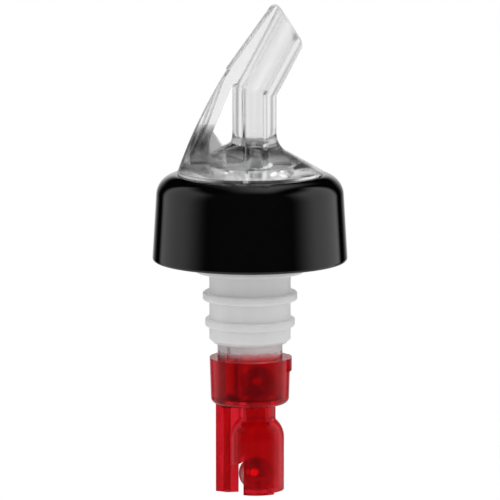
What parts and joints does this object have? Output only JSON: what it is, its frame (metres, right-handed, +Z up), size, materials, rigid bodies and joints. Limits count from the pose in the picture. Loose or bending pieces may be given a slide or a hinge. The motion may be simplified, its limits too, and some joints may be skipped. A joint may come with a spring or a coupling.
{
  "type": "measured liquor pourer",
  "caption": "Bottle-neck pourer with a clear angled spout and vent arm, a black domed collar, a soft ribbed plug and a red cage whose steel balls meter each pour.",
  "frame": {"origin": "on the plug's axis, in the plane of the flange's underside, which rests on the bottle's lip", "axes": "+Z up along the plug's axis with the bottle standing, +X the way the spout leans and pours"},
  "size_m": [0.0443, 0.0444, 0.1113],
  "materials": {
    "clear_plastic": "clear polished moulding",
    "black_plastic": "gloss",
    "soft_white_plastic": "soft satin",
    "milky_plastic": "milky translucent",
    "vent_plastic": "satin",
    "red_plastic": "translucent gloss",
    "steel": "polished"
  },
  "bodies": {
    "pourer": {"spout": "clear_plastic", "collar": "black_plastic", "plug": "soft_white_plastic", "timing_tube": "milky_plastic", "vent_tube": "vent_plastic", "ball_cage": "red_plastic"},
    "timing_ball": {"timing_ball": "steel"},
    "reset_ball": {"reset_ball": "steel"}
  },
  "joints": [
    {"name": "timing_ball_travel", "type": "slide", "parent": "pourer", "child": "timing_ball", "axis": [0, 0, 1], "range_m": [0, 0.0089]},
    {"name": "reset_ball_travel", "type": "slide", "parent": "pourer", "child": "reset_ball", "axis": [0, 0, 1], "range_m": [0, 0.00835]}
  ]
}
